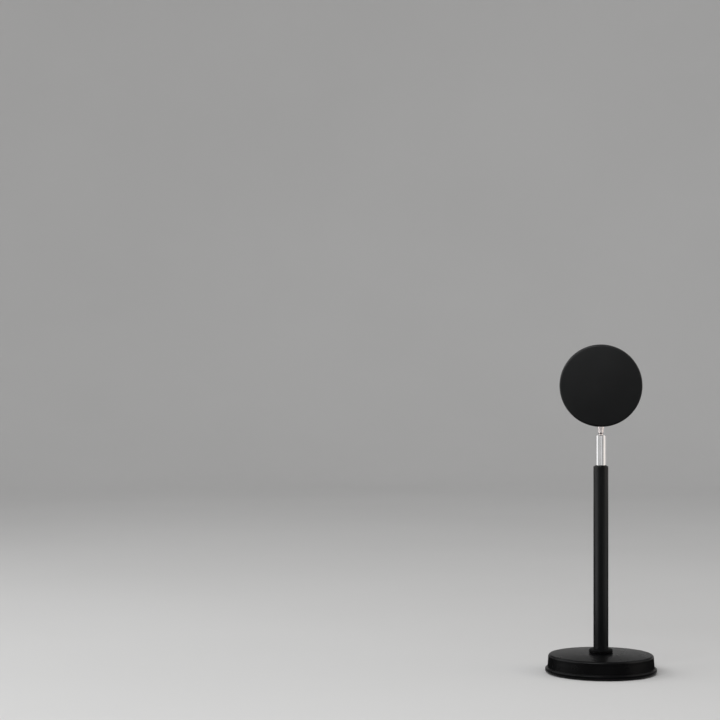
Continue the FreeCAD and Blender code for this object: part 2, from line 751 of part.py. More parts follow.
# Flat back, screwed onto the drum's rear spigot.
rear_cover = new_body("rear_cover", HEAD, LAY)
turned(rear_cover, "cap", [
    (0, D("back_y")),
    (D("head_rad") - D("back_round"), D("back_y"), D("back_round"), -1),
    (D("head_rad"), D("back_y") + D("back_round")),
    (D("head_rad"), D("back_seam") - 0.3),
    (D("head_rad") - 0.3, D("back_seam")),
    (D("back_thread"), D("back_seam")),
    (D("back_thread"), D("back_y") + D("back_thk")),
    (0, D("back_y") + D("back_thk")),
])

# Front ring, screwed into the drum; it carries the lens.
front_bezel = new_body("front_bezel", HEAD, LAY)
gasket_front = D("lens_edge") + D("gasket_thk")
turned(front_bezel, "ring", [
    (D("bezel_in"), D("lens_back") - D("keeper_thk") - 1.2),
    (D("head_in"), D("lens_back") - D("keeper_thk") - 1.2),
    (D("head_in"), D("front_seam")),
    (D("head_rad") - 0.3, D("front_seam")),
    (D("head_rad"), D("front_seam") + 0.3),
    (D("head_rad"), D("front_y") - 1.0, 1.0, -1),
    (D("head_rad") - 1.0, D("front_y")),
    (D("bezel_open") + 2.2, D("front_y")),
    (D("bezel_open"), gasket_front + 0.7),
    (D("bezel_open"), gasket_front),
    (D("bezel_in"), gasket_front),
])

lens_gasket = new_body("lens_gasket", HEAD, LAY)
turned(lens_gasket, "ring", [
    (D("lens_flat") + 0.1, D("lens_edge")),
    (D("lens_rad"), D("lens_edge")),
    (D("lens_rad"), gasket_front),
    (D("lens_flat") + 0.1, gasket_front),
])

# Glass lens, flat behind and domed in front.
lens = new_body("lens", HEAD, LAY)
dome_rise = D("dome_rad") - root(D("dome_rad") * D("dome_rad") - D("lens_flat") * D("lens_flat"))
turned(lens, "glass", [
    (0, D("lens_back")),
    (D("lens_rad") - 0.3, D("lens_back")),
    (D("lens_rad"), D("lens_back") + 0.3),
    (D("lens_rad"), D("lens_edge")),
    (D("lens_flat"), D("lens_edge"), D("dome_rad"), -1),
    (0, D("lens_edge") + dome_rise),
])

# Ring that screws in behind the lens, with two spanner slots.
lens_retainer = new_body("lens_retainer", HEAD, LAY)
turned(lens_retainer, "ring", [
    (D("bezel_open"), D("lens_back") - D("keeper_thk")),
    (D("bezel_in"), D("lens_back") - D("keeper_thk")),
    (D("bezel_in"), D("lens_back")),
    (D("bezel_open"), D("lens_back")),
])
slots = cut(lens_retainer, "spanner", lambda sk: outline(sk, [
    (D("bezel_open") - 1.0, -0.8), (D("bezel_open") + 1.4, -0.8),
    (D("bezel_open") + 1.4, 0.8), (D("bezel_open") - 1.0, 0.8)]),
    0.9, "XY_Plane", D("lens_back") - D("keeper_thk"), back=True)
around(lens_retainer, slots, 2, "spanner")

# Conical reflector with a flange that seats on the front ledge.
flange_front = D("ledge_front") + 2.0
reflector = new_body("reflector", HEAD, LAY)
turned(reflector, "cone", [
    (D("cone_small"), D("cone_back")),
    (D("cone_small") + D("cone_wall"), D("cone_back")),
    (D("cone_large") + D("cone_wall"), D("ledge_front")),
    (D("head_in") - 0.4, D("ledge_front")),
    (D("head_in") - 0.4, flange_front),
    (D("filter_rad") + 0.1, flange_front),
    (D("filter_rad") + 0.1, flange_front - D("filter_thk")),
    (D("cone_large"), flange_front - D("filter_thk")),
])
ref_hole = cut(reflector, "screw_hole", lambda sk: ring(sk, D("screw_pcr"), 0, D("small_shank")),
               4.0, "XY_Plane", flange_front + 1.0)
around(reflector, ref_hole, 3, "screw_hole")

colour_filter = new_body("colour_filter", HEAD, LAY)
turned(colour_filter, "disc", [
    (0, flange_front - D("filter_thk")),
    (D("filter_rad"), flange_front - D("filter_thk")),
    (D("filter_rad"), flange_front),
    (0, flange_front),
])

filter_ring = new_body("filter_ring", HEAD, LAY)
turned(filter_ring, "ring", [
    (D("filter_rad") - 1.6, flange_front),
    (D("head_in") - 0.4, flange_front),
    (D("head_in") - 0.4, flange_front + 1.0),
    (D("filter_rad") - 1.6, flange_front + 1.0),
])
fr_hole = cut(filter_ring, "screw_hole", lambda sk: ring(sk, D("screw_pcr"), 0, D("small_shank")),
              3.0, "XY_Plane", flange_front + 2.0)
around(filter_ring, fr_hole, 3, "screw_hole")

reflector_screws = new_body("reflector_screws", HEAD, LAY)
rscrew = turned(reflector_screws, "screw", [
    (D("screw_pcr"), D("ledge_front") - 1.8),
    (D("screw_pcr") + D("small_shank") - 0.3, D("ledge_front") - 1.8),
    (D("screw_pcr") + D("small_shank"), D("ledge_front") - 1.5),
    (D("screw_pcr") + D("small_shank"), flange_front + 1.0),
    (D("screw_pcr") + 1.8, flange_front + 1.0),
    (D("screw_pcr") + 1.8, flange_front + 1.7),
    (D("screw_pcr") + 1.3, flange_front + 2.2),
    (D("screw_pcr") + 0.5, flange_front + 2.2),
    (D("screw_pcr") + 0.5, flange_front + 1.6),
    (D("screw_pcr"), flange_front + 1.6),
], D("screw_pcr"))
around(reflector_screws, rscrew, 3, "screw")

# Heat sink plate against the rear ledge, with straight fins behind it.
sink_back = D("ledge_back") - D("sink_thk")
heat_sink = new_body("heat_sink", HEAD, LAY)
turned(heat_sink, "plate", [
    (0, sink_back),
    (D("sink_rad"), sink_back),
    (D("sink_rad"), D("ledge_back")),
    (0, D("ledge_back")),
])


def draw_fins(sk):
    for k in range(-4, 5):
        mid = D("fin_pitch") * k
        reach = math.sqrt(26.5 ** 2 - (abs(mid.v) + VALUE["fin_thk"] / 2) ** 2)
        outline(sk, [
            (-reach, mid - D("fin_thk") / 2), (reach, mid - D("fin_thk") / 2),
            (reach, mid + D("fin_thk") / 2), (-reach, mid + D("fin_thk") / 2)])


pad(heat_sink, "fins", draw_fins, D("fin_len"), "XY_Plane", sink_back, back=True)
hs_hole = cut(heat_sink, "rim_hole", lambda sk: ring(sk, D("screw_pcr"), 0, D("sink_shank")),
              6.0, "XY_Plane", D("ledge_back") + 1.0)
around(heat_sink, hs_hole, 3, "rim_hole")
hb_hole = cut(heat_sink, "board_hole", lambda sk: ring(sk, D("board_pcr"), 0, D("small_shank")),
              2.6, "XY_Plane", D("ledge_back"))
around(heat_sink, hb_hole, 2, "board_hole")

heat_sink_screws = new_body("heat_sink_screws", HEAD, LAY)
hscrew = turned(heat_sink_screws, "screw", [
    (D("screw_pcr"), sink_back - 0.7),
    (D("screw_pcr") + 0.6, sink_back - 0.7),
    (D("screw_pcr") + 0.6, sink_back - 1.5),
    (D("screw_pcr") + 1.4, sink_back - 1.5),
    (D("screw_pcr") + 1.9, sink_back - 1.0),
    (D("screw_pcr") + 1.9, sink_back),
    (D("screw_pcr") + D("sink_shank"), sink_back),
    (D("screw_pcr") + D("sink_shank"), D("ledge_back") + 1.5),
    (D("screw_pcr") + D("sink_shank") - 0.3, D("ledge_back") + 1.8),
    (D("screw_pcr"), D("ledge_back") + 1.8),
], D("screw_pcr"))
around(heat_sink_screws, hscrew, 3, "screw")

board_front = D("ledge_back") + D("board_thk")
led_board = new_body("led_board", HEAD, LAY)
turned(led_board, "disc", [
    (0, D("ledge_back")),
    (D("board_rad"), D("ledge_back")),
    (D("board_rad"), board_front),
    (0, board_front),
])
lb_hole = cut(led_board, "hole", lambda sk: ring(sk, D("board_pcr"), 0, D("small_shank")),
              4.0, "XY_Plane", board_front + 1.0)
around(led_board, lb_hole, 2, "hole")

led_chip = new_body("led_chip", HEAD, LAY)
turned(led_chip, "chip", [
    (0, board_front),
    (D("chip_rad"), board_front),
    (D("chip_rad"), board_front + 0.6),
    (4.3, board_front + 0.6),
    (4.3, board_front + 0.9),
    (0, board_front + 0.9),
])

led_screws = new_body("led_screws", HEAD, LAY)
lscrew = turned(led_screws, "screw", [
    (D("board_pcr"), D("ledge_back") - 2.4),
    (D("board_pcr") + D("small_shank") - 0.3, D("ledge_back") - 2.4),
    (D("board_pcr") + D("small_shank"), D("ledge_back") - 2.1),
    (D("board_pcr") + D("small_shank"), board_front),
    (D("board_pcr") + 1.7, board_front),
    (D("board_pcr") + 1.7, board_front + 0.6),
    (D("board_pcr") + 1.2, board_front + 1.1),
    (D("board_pcr") + 0.5, board_front + 1.1),
    (D("board_pcr") + 0.5, board_front + 0.6),
    (D("board_pcr"), board_front + 0.6),
], D("board_pcr"))
around(led_screws, lscrew, 2, "screw")

# ---------------------------------------------------------------------------
# Leads inside the lamp
# ---------------------------------------------------------------------------


def lead(label, path, radii, rad):
    """A round lead along straight runs joined by tangent arcs, in the plane
    x = 0. path holds (y, z) points, radii the bend at each inner one."""
    pts = [Vec(0, a, b) for a, b in path]
    edges = []
    length = 0.0
    at = pts[0]
    for i in range(1, len(pts) - 1):
        u = pts[i - 1] - pts[i]
        w = pts[i + 1] - pts[i]
        u.normalize()
        w.normalize()
        turn = math.pi - u.getAngle(w)
        back = radii[i - 1] * math.tan(turn / 2.0)
        a = pts[i] + u * back
        b = pts[i] + w * back
        mid = u + w
        mid.normalize()
        centre = pts[i] + mid * (radii[i - 1] / math.cos(turn / 2.0))
        top = centre - mid * radii[i - 1]
        edges.append(Part.LineSegment(at, a).toShape())
        edges.append(Part.Arc(a, top, b).toShape())
        at = b
    edges.append(Part.LineSegment(at, pts[-1]).toShape())
    wire = Part.Wire(edges)
    start = pts[1] - pts[0]
    start.normalize()
    section = Part.Wire([Part.Circle(pts[0], start, rad).toShape()])
    shape = wire.makePipeShell([section], True, False)
    want = math.pi * rad * rad * wire.Length
    if abs(shape.Volume - want) > 0.02 * want:
        raise RuntimeError("%s volume %.2f, expected %.2f" % (label, shape.Volume, want))
    obj = doc.addObject("Part::Feature", label)
    obj.Shape = shape
    obj.Placement = Place()
    return node(obj, label)


inlet = VALUE["inlet_z"]
lead("pole_lead",
     [(VALUE["inlet_in"] - 1.8, inlet), (31.0, inlet), (16.0, 4.4), (0.0, 4.4), (0.0, VALUE["spigot_top"] - 0.5)],
     [12.0, 12.0, 3.2], VALUE["lead_pole"])
stud_end = VALUE["thread_top"]
board_face = VALUE["ledge_back"] + VALUE["board_thk"]
lead("head_lead",
     [(0.0, stud_end + 0.3), (0.0, stud_end + 3.4), (-7.6, 222.6), (-8.2, 228.3), (board_face, 228.3)],
     [3.0, 3.0, 1.2], VALUE["lead_head"])

# ---------------------------------------------------------------------------
# Check and write
# ---------------------------------------------------------------------------

doc.recompute()
bad = []
for obj in doc.Objects:
    if "Invalid" in obj.State or "Error" in obj.State:
        bad.append("%s: %s" % (obj.Name, obj.State))
for obj in NODES:
    if obj.Shape.isNull() or not obj.Shape.isValid() or not obj.Shape.Solids:
        bad.append("%s: bad shape" % obj.Label)
if bad:
    raise RuntimeError("; ".join(bad))

os.makedirs("parts", exist_ok=True)
for obj in NODES:
    obj.Shape.exportStep("parts/%s.step" % obj.Label)
    box = obj.Shape.BoundBox
    print("%-20s solids %d  volume %9.1f  x %7.2f..%6.2f  y %7.2f..%6.2f  z %7.2f..%6.2f" % (
        obj.Label, len(obj.Shape.Solids), obj.Shape.Volume,
        box.XMin, box.XMax, box.YMin, box.YMax, box.ZMin, box.ZMax))
print("nodes", len(NODES))
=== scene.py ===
import bpy
import bmesh
import math
from mathutils import Vector, Matrix


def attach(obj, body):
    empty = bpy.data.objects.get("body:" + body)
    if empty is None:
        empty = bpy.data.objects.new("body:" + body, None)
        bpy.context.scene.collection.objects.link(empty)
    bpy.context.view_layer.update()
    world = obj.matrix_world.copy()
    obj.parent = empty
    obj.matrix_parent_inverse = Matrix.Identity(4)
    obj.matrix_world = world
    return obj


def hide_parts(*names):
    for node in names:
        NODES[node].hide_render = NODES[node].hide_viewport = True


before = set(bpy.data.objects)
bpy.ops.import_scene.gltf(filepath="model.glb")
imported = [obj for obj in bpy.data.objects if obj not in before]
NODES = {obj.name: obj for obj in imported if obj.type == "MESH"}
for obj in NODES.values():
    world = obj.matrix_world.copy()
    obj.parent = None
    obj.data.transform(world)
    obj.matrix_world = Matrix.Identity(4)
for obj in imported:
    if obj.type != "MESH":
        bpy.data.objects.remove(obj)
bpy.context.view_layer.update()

MM = 0.001

# ---------------------------------------------------------------------------
# Camera: level, a little above the head, turned so that the lamp stands right
# of the middle of the square frame.
# ---------------------------------------------------------------------------

FOCAL_PX = 1950.0
CAM_DIST = 1.637
CAM_H = 0.2604
YAW = math.atan((600.9 - 360.0) / FOCAL_PX)

cam_data = bpy.data.cameras.new("camera")
cam = bpy.data.objects.new("camera", cam_data)
bpy.context.scene.collection.objects.link(cam)
cam_data.sensor_fit = "HORIZONTAL"
cam_data.sensor_width = 36.0
cam_data.lens = FOCAL_PX / 720.0 * 36.0
cam_data.clip_start = 0.05
cam_data.clip_end = 80.0
cam.location = (0.0, -CAM_DIST, CAM_H)
cam.rotation_euler = (math.radians(90.0), 0.0, YAW)
bpy.context.scene.camera = cam

# ---------------------------------------------------------------------------
# Node helpers
# ---------------------------------------------------------------------------


class Tree(object):
    """A material's node tree, with one Principled shader."""

    def __init__(self, name):
        self.mat = bpy.data.materials.new(name)
        self.mat.use_nodes = True
        self.nt = self.mat.node_tree
        self.bsdf = self.nt.nodes["Principled BSDF"]

    def new(self, kind, **sets):
        n = self.nt.nodes.new(kind)
        for k, v in sets.items():
            setattr(n, k, v)
        return n

    def link(self, a, b):
        self.nt.links.new(a, b)

    def set(self, **sockets):
        for k, v in sockets.items():
            self.bsdf.inputs[k.replace("_", " ")].default_value = v

    def coords(self):
        return self.new("ShaderNodeTexCoord").outputs["Object"]

    def scaled(self, vector, scale):
        m = self.new("ShaderNodeMapping")
        m.inputs["Scale"].default_value = scale
        self.link(vector, m.inputs["Vector"])
        return m.outputs["Vector"]

    def noise(self, vector, scale, detail=2.0, rough=0.5):
        n = self.new("ShaderNodeTexNoise")
        n.inputs["Scale"].default_value = scale
        n.inputs["Detail"].default_value = detail
        n.inputs["Roughness"].default_value = rough
        self.link(vector, n.inputs["Vector"])
        return n.outputs["Fac"]

    def span(self, value, lo, hi, a=0.0, b=1.0):
        """value from lo..hi to a..b"""
        n = self.new("ShaderNodeMapRange")
        n.inputs["From Min"].default_value = lo
        n.inputs["From Max"].default_value = hi
        n.inputs["To Min"].default_value = a
        n.inputs["To Max"].default_value = b
        self.link(value, n.inputs["Value"])
        return n.outputs["Result"]

    def math(self, op, a, b=None):
        n = self.new("ShaderNodeMath", operation=op)
        for i, v in enumerate((a, b)):
            if v is None:
                continue
            if isinstance(v, (int, float)):
                n.inputs[i].default_value = v
            else:
                self.link(v, n.inputs[i])
        return n.outputs["Value"]

    def ramp(self, value, stops, mode="LINEAR"):
        n = self.new("ShaderNodeValToRGB")
        n.color_ramp.interpolation = mode
        el = n.color_ramp.elements
        while len(el) < len(stops):
            el.new(0.5)
        for e, (pos, col) in zip(el, stops):
            e.position = pos
            e.color = (col[0], col[1], col[2], 1.0)
        self.link(value, n.inputs["Fac"])
        return n.outputs["Color"]

    def bump(self, height, strength, distance, after=None):
        n = self.new("ShaderNodeBump")
        n.inputs["Strength"].default_value = strength
        n.inputs["Distance"].default_value = distance
        self.link(height, n.inputs["Height"])
        if after is not None:
            self.link(after, n.inputs["Normal"])
        return n.outputs["Normal"]

    def normal(self, out):
        self.link(out, self.bsdf.inputs["Normal"])


def powder(name, dark, light, rough, spread, grain, depth, level, peel=0.0):
    """Lacquer with a fine grain: colour and roughness drift a little, the
    grain is a small bump, and peel adds a slow wave under it."""
    t = Tree(name)
    at = t.coords()
    drift = t.noise(at, 38.0, 3.0, 0.6)
    fine = t.noise(at, grain, 2.0, 0.55)
    t.link(t.ramp(t.span(drift, 0.3, 0.7), [(0.0, dark), (1.0, light)]), t.bsdf.inputs["Base Color"])
    t.link(t.span(t.noise(at, 75.0, 4.0, 0.6), 0.3, 0.7, rough - spread, rough + spread), t.bsdf.inputs["Roughness"])
    out = t.bump(fine, 0.35, depth)
    if peel:
        out = t.bump(t.noise(at, 330.0, 1.0, 0.4), 0.25, peel, out)
    t.normal(out)
    t.bsdf.inputs["Specular IOR Level"].default_value = level
    return t.mat


MATT = powder("matt_black_coat", (0.0016, 0.0018, 0.0020), (0.0025, 0.0027, 0.0030), 0.40, 0.025, 2300.0, 0.00004, 0.36)
SATIN = powder("satin_black_lacquer", (0.0014, 0.0014, 0.0016), (0.0022, 0.0022, 0.0025), 0.28, 0.01, 2600.0, 0.000004, 0.13, 0.000004)
COLLAR = powder("satin_black_collar", (0.0020, 0.0020, 0.0022), (0.0030, 0.0030, 0.0033), 0.42, 0.02, 2600.0, 0.00002, 0.05, 0.00003)
POLE = powder("satin_black_tube", (0.0016, 0.0018, 0.0020), (0.0025, 0.0028, 0.0031), 0.30, 0.02, 2600.0, 0.000015, 0.30, 0.00002)


def chrome(name, low, high, rough, spread):
    t = Tree(name)
    t.set(Metallic=1.0)
    at = t.coords()
    wipe = t.noise(t.scaled(at, (420.0, 420.0, 90.0)), 1.0, 3.0, 0.6)
    t.link(t.ramp(t.span(t.noise(at, 160.0, 2.0, 0.5), 0.3, 0.7), [(0.0, low), (1.0, high)]), t.bsdf.inputs["Base Color"])
    t.link(t.span(wipe, 0.3, 0.7, rough - spread, rough + spread), t.bsdf.inputs["Roughness"])
    t.normal(t.bump(t.noise(t.scaled(at, (6000.0, 6000.0, 500.0)), 1.0, 2.0, 0.5), 0.12, 0.000004))
    return t.mat


CHROME = chrome("polished_chrome", (0.81, 0.81, 0.81), (0.87, 0.87, 0.87), 0.08, 0.025)
NICKEL = chrome("polished_nickel", (0.86, 0.79, 0.775), (0.91, 0.84, 0.825), 0.13, 0.02)


def metal(name, low, high, rough, streak=(1.0, 1.0, 1.0)):
    t = Tree(name)
    t.set(Metallic=1.0)
    at = t.scaled(t.coords(), streak)
    n = t.noise(at, 900.0, 4.0, 0.65)
    t.link(t.ramp(t.span(n, 0.3, 0.7), [(0.0, low), (1.0, high)]), t.bsdf.inputs["Base Color"])
    t.link(t.span(t.noise(at, 400.0, 3.0, 0.6), 0.3, 0.7, rough - 0.06, rough + 0.06), t.bsdf.inputs["Roughness"])
    t.normal(t.bump(n, 0.2, 0.00002))
    return t.mat


ZINC = metal("zinc_plated_steel", (0.50, 0.50, 0.53), (0.64, 0.64, 0.66), 0.33)
IRON = metal("cast_iron", (0.05, 0.05, 0.052), (0.10, 0.10, 0.10), 0.62)
ALU = metal("turned_aluminium", (0.66, 0.67, 0.69), (0.80, 0.81, 0.82), 0.30, (0.2, 1.0, 1.0))
SILVER = metal("bright_reflector", (0.82, 0.82, 0.83), (0.90, 0.90, 0.90), 0.14)


def plastic(name, low, high, rough, scale=500.0, depth=0.00003, level=0.5):
    t = Tree(name)
    at = t.coords()
    n = t.noise(at, scale, 3.0, 0.6)
    t.link(t.ramp(t.span(n, 0.3, 0.7), [(0.0, low), (1.0, high)]), t.bsdf.inputs["Base Color"])
    t.link(t.span(t.noise(at, scale * 0.4, 2.0, 0.5), 0.3, 0.7, rough - 0.05, rough + 0.05), t.bsdf.inputs["Roughness"])
    t.normal(t.bump(n, 0.3, depth))
    t.bsdf.inputs["Specular IOR Level"].default_value = level
    return t.mat


RUBBER = plastic("black_rubber", (0.012, 0.012, 0.012), (0.026, 0.026, 0.026), 0.72, 1400.0, 0.00006, 0.3)
NYLON = plastic("natural_nylon", (0.62, 0.60, 0.53), (0.72, 0.70, 0.63), 0.42, 700.0)
BOARD = plastic("white_solder_mask", (0.70, 0.70, 0.67), (0.80, 0.80, 0.77), 0.35, 600.0)
JACKET = plastic("lead_jacket", (0.012, 0.012, 0.013), (0.022, 0.022, 0.023), 0.45, 900.0)


def phosphor():
    t = Tree("phosphor")
    at = t.coords()
    n = t.noise(at, 1800.0, 2.0, 0.5)
    t.link(t.ramp(t.span(n, 0.3, 0.7), [(0.0, (0.80, 0.56, 0.08)), (1.0, (0.90, 0.68, 0.16))]), t.bsdf.inputs["Base Color"])
    t.set(Roughness=0.55)
    t.bsdf.inputs["Emission Color"].default_value = (1.0, 0.80, 0.45, 1.0)
    t.bsdf.inputs["Emission Strength"].default_value = 2.0
    t.normal(t.bump(n, 0.2, 0.00002))
    return t.mat


PHOSPHOR = phosphor()


def lens_glass():
    t = Tree("lens_glass")
    at = t.coords()
    t.set(IOR=1.5)
    t.bsdf.inputs["Base Color"].default_value = (0.985, 0.99, 0.99, 1.0)
    t.bsdf.inputs["Transmission Weight"].default_value = 1.0
    t.link(t.span(t.noise(at, 120.0, 4.0, 0.65), 0.35, 0.75, 0.0, 0.03), t.bsdf.inputs["Roughness"])
    t.normal(t.bump(t.noise(at, 300.0, 1.0, 0.4), 0.05, 0.00001))
    return t.mat


LENS = lens_glass()


def filter_glass():
    """Coloured in rings: red-orange in the middle, orange, then amber at the rim. The same ring colours also glow
    faintly from the film. This is a painted glow that stands in for lamp light shining through it."""
    t = Tree("filter_glass")
    at = t.coords()
    sep = t.new("ShaderNodeSeparateXYZ")
    t.link(at, sep.inputs["Vector"])
    dx = sep.outputs["X"]
    dz = t.math("SUBTRACT", sep.outputs["Z"], 0.2393)
    rad = t.math("SQRT", t.math("ADD", t.math("MULTIPLY", dx, dx), t.math("MULTIPLY", dz, dz)))
    wob = t.math("MULTIPLY", t.math("SUBTRACT", t.noise(at, 60.0, 2.0, 0.5), 0.5), 0.0012)
    share = t.span(t.math("ADD", rad, wob), 0.0, 0.0241)
    col = t.ramp(share, [
        (0.0, (0.84, 0.045, 0.008)),
        (0.24, (0.85, 0.075, 0.009)),
        (0.50, (0.86, 0.180, 0.010)),
        (0.74, (0.87, 0.290, 0.012)),
        (0.85, (0.89, 0.360, 0.014)),
        (0.92, (0.95, 0.620, 0.030)),
        (1.0, (0.95, 0.700, 0.050)),
    ], "EASE")
    t.link(col, t.bsdf.inputs["Base Color"])
    # painted glow: the ring colours also drive a faint emission on the film, in place of lamp light passing through it
    t.link(col, t.bsdf.inputs["Emission Color"])
    t.bsdf.inputs["Emission Strength"].default_value = 0.42
    t.set(Roughness=0.12, IOR=1.5)
    t.bsdf.inputs["Transmission Weight"].default_value = 0.55
    return t.mat


FILTER_PAINTED_GLOW = filter_glass()

# ---------------------------------------------------------------------------
# Turned shapes
# ---------------------------------------------------------------------------


def rounded(points, steps=5):
    """Closed outline of (r, z) or (r, z, radius): each radius becomes an arc
    tangent to both runs."""
    out = []
    n = len(points)
    for i in range(n):
        p = points[i]
        rad = p[2] if len(p) > 2 else 0.0
        here = Vector((p[0], p[1]))
        if rad <= 0.0:
            out.append((here.x, here.y))
            continue
        a = Vector(points[i - 1][:2]) - here
        b = Vector(points[(i + 1) % n][:2]) - here
        la, lb = a.length, b.length
        a.normalize()
        b.normalize()
        ang = math.acos(max(-1.0, min(1.0, a.dot(b))))
        if ang < 1e-4 or abs(math.pi - ang) < 1e-3:
            out.append((here.x, here.y))
            continue
        back = min(rad / math.tan(ang / 2.0), 0.49 * la, 0.49 * lb)
        rad = back * math.tan(ang / 2.0)
        mid = (a + b).normalized()
        centre = here + mid * (rad / math.sin(ang / 2.0))
        s = here + a * back - centre
        e = here + b * back - centre
        turn = s.angle_signed(e)
        for k in range(steps + 1):
            v = s.copy()
            v.rotate(Matrix.Rotation(-turn * k / steps, 2))
            out.append((centre.x + v.x, centre.y + v.y))
    return out


def arc(cx, cy, rad, a0, a1, steps):
    """Points on a circle, from angle a0 to a1 in degrees."""
    return [(cx + rad * math.cos(math.radians(a0 + (a1 - a0) * k / steps)),
             cy + rad * math.sin(math.radians(a0 + (a1 - a0) * k / steps))) for k in range(steps + 1)]


def supported(outline):
    """Adds a row beside each bend, so that the shading of a long face stays
    even up to its edge."""
    out = []
    n = len(outline)
    run = [math.dist(outline[i], outline[(i + 1) % n]) for i in range(n)]
    for i in range(n):
        a, b = outline[i], outline[(i + 1) % n]
        out.append(a)
        marks = []
        if run[i] > 3.0 * run[i - 1] > 0.0:
            marks.append(min(run[i - 1], 0.3 * run[i]) / run[i])
        if run[i] > 3.0 * run[(i + 1) % n] > 0.0:
            marks.append(1.0 - min(run[(i + 1) % n], 0.3 * run[i]) / run[i])
        for f in marks:
            out.append((a[0] + (b[0] - a[0]) * f, a[1] + (b[1] - a[1]) * f))
    return out


def turned(name, outline, body, mat, nodes, along="Z", at=(0.0, 0.0, 0.0), segs=192, sharp=32.0):
    """A turned piece. outline is a closed list of (r, z) in millimetres, along
    Z or along +Y from the point at (in metres)."""
    outline = supported(outline)
    bm = bmesh.new()
    rows = []
    for r, z in outline:
        if r < 1e-6:
            rows.append([bm.verts.new((0.0, 0.0, z * MM))])
        else:
            rows.append([bm.verts.new((r * MM * math.cos(2 * math.pi * k / segs),
                                       r * MM * math.sin(2 * math.pi * k / segs), z * MM)) for k in range(segs)])
    n = len(rows)
    for i in range(n):
        a, b = rows[i], rows[(i + 1) % n]
        if len(a) == 1 and len(b) == 1:
            continue
        for k in range(segs):
            j = (k + 1) % segs
            if len(a) == 1:
                bm.faces.new((a[0], b[k], b[j]))
            elif len(b) == 1:
                bm.faces.new((a[k], b[0], a[j]))
            else:
                bm.faces.new((a[k], b[k], b[j], a[j]))
    bmesh.ops.remove_doubles(bm, verts=bm.verts, dist=1e-8)
    bmesh.ops.recalc_face_normals(bm, faces=bm.faces)
    if along == "Y":
        bm.transform(Matrix.Translation(Vector(at)) @ Matrix.Rotation(math.radians(-90.0), 4, "X"))
    else:
        bm.transform(Matrix.Translation(Vector(at)))
    me = bpy.data.meshes.new(name)
    bm.to_mesh(me)
    bm.free()
    return finish_piece(name, me, body, mat, nodes, sharp)


def finish_piece(name, me, body, mat, nodes, sharp=32.0, weighted=True):
    ob = bpy.data.objects.new(name, me)
    bpy.context.scene.collection.objects.link(ob)
    me.materials.append(mat)
    for p in me.polygons:
        p.use_smooth = True
    me.set_sharp_from_angle(angle=math.radians(sharp))
    if weighted:
        w = ob.modifiers.new("normals", "WEIGHTED_NORMAL")
        w.keep_sharp = True
        w.weight = 50
    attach(ob, body)
    if nodes:
        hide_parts(*nodes)
    return ob


def carve(ob, cutters, sharp=32.0):
    """Takes the cutters' shapes out of a piece, for good."""
    for c in cutters:
        m = ob.modifiers.new("carve", "BOOLEAN")
        m.operation = "DIFFERENCE"
        m.solver = "EXACT"
        m.object = c
        # the cut comes before the normals
        while ob.modifiers[0] != m and ob.modifiers.find(m.name) > 0:
            ob.modifiers.move(ob.modifiers.find(m.name), 0)
    w = ob.modifiers.get("normals")
    if w:
        ob.modifiers.remove(w)
    bpy.context.view_layer.update()
    dg = bpy.context.evaluated_depsgraph_get()
    me = bpy.data.meshes.new_from_object(ob.evaluated_get(dg))
    old = ob.data
    ob.modifiers.clear()
    ob.data = me
    me.name = old.name
    bpy.data.meshes.remove(old)
    for c in cutters:
        data = c.data
        bpy.data.objects.remove(c)
        bpy.data.meshes.remove(data)
    for p in me.polygons:
        p.use_smooth = True
    me.set_sharp_from_angle(angle=math.radians(sharp))
    w = ob.modifiers.new("normals", "WEIGHTED_NORMAL")
    w.keep_sharp = True
    w.weight = 50
    return ob


def rod(name, a, b, rad, segs=48):
    """A plain rod from a to b, used to cut with."""
    a, b = Vector(a), Vector(b)
    bm = bmesh.new()
    bmesh.ops.create_cone(bm, cap_ends=True, segments=segs, radius1=rad, radius2=rad, depth=(b - a).length)
    q = (b - a).to_track_quat("Z", "Y")
    bm.transform(Matrix.Translation((a + b) / 2) @ q.to_matrix().to_4x4())
    me = bpy.data.meshes.new(name)
    bm.to_mesh(me)
    bm.free()
    ob = bpy.data.objects.new(name, me)
    bpy.context.scene.collection.objects.link(ob)
    return ob


# ---------------------------------------------------------------------------
# Base
# ---------------------------------------------------------------------------

# lip, side wall, rounded edge, then a top that rises a little to the collar
RIM_R, RIM_Z, LAND_R, LAND_Z = 41.75, 15.35, 10.2, 16.8
shell_outline = rounded([(43.9, 0.95, 0.1), (46.25, 0.95, 0.55), (46.25, 4.3, 1.4), (44.35, 4.3, 0.3), (43.8, 12.0)], 8)
shell_outline += arc(RIM_R, RIM_Z - 2.0, 2.0, 0.0, 86.0, 12)
for k in range(1, 17):
    f = k / 16.0
    shell_outline.append((RIM_R + (LAND_R - RIM_R) * f, RIM_Z + (LAND_Z - RIM_Z) * math.sin(f * math.pi / 2.0)))
shell_outline += [(7.0, LAND_Z), (4.2, LAND_Z - 0.02), (4.2, 14.85), (10.2, 14.85), (42.0, 13.75), (42.55, 3.3), (42.7, 2.8), (43.9, 2.75)]
base_shell = turned("base_cover", shell_outline, "base", SATIN, ["base_shell"], segs=256)
carve(base_shell, [rod("c1", (0, 0.0405, 0.0085), (0, 0.050, 0.0085), 0.00262),
                   rod("c2", (0, 0.04312, 0.0085), (0, 0.050, 0.0085), 0.00352)])

turned("cord_inlet_grommet", rounded([
    (1.8, 40.3, 0.25), (3.3, 40.3, 0.3), (3.35, 41.15, 0.1), (2.6, 41.2), (2.6, 43.1), (3.4, 43.15, 0.1),
    (3.38, 44.25, 0.55), (1.8, 44.25, 0.35)], 6),
    "base", RUBBER, ["cord_grommet"], along="Y", at=(0, 0, 0.0085), segs=96)

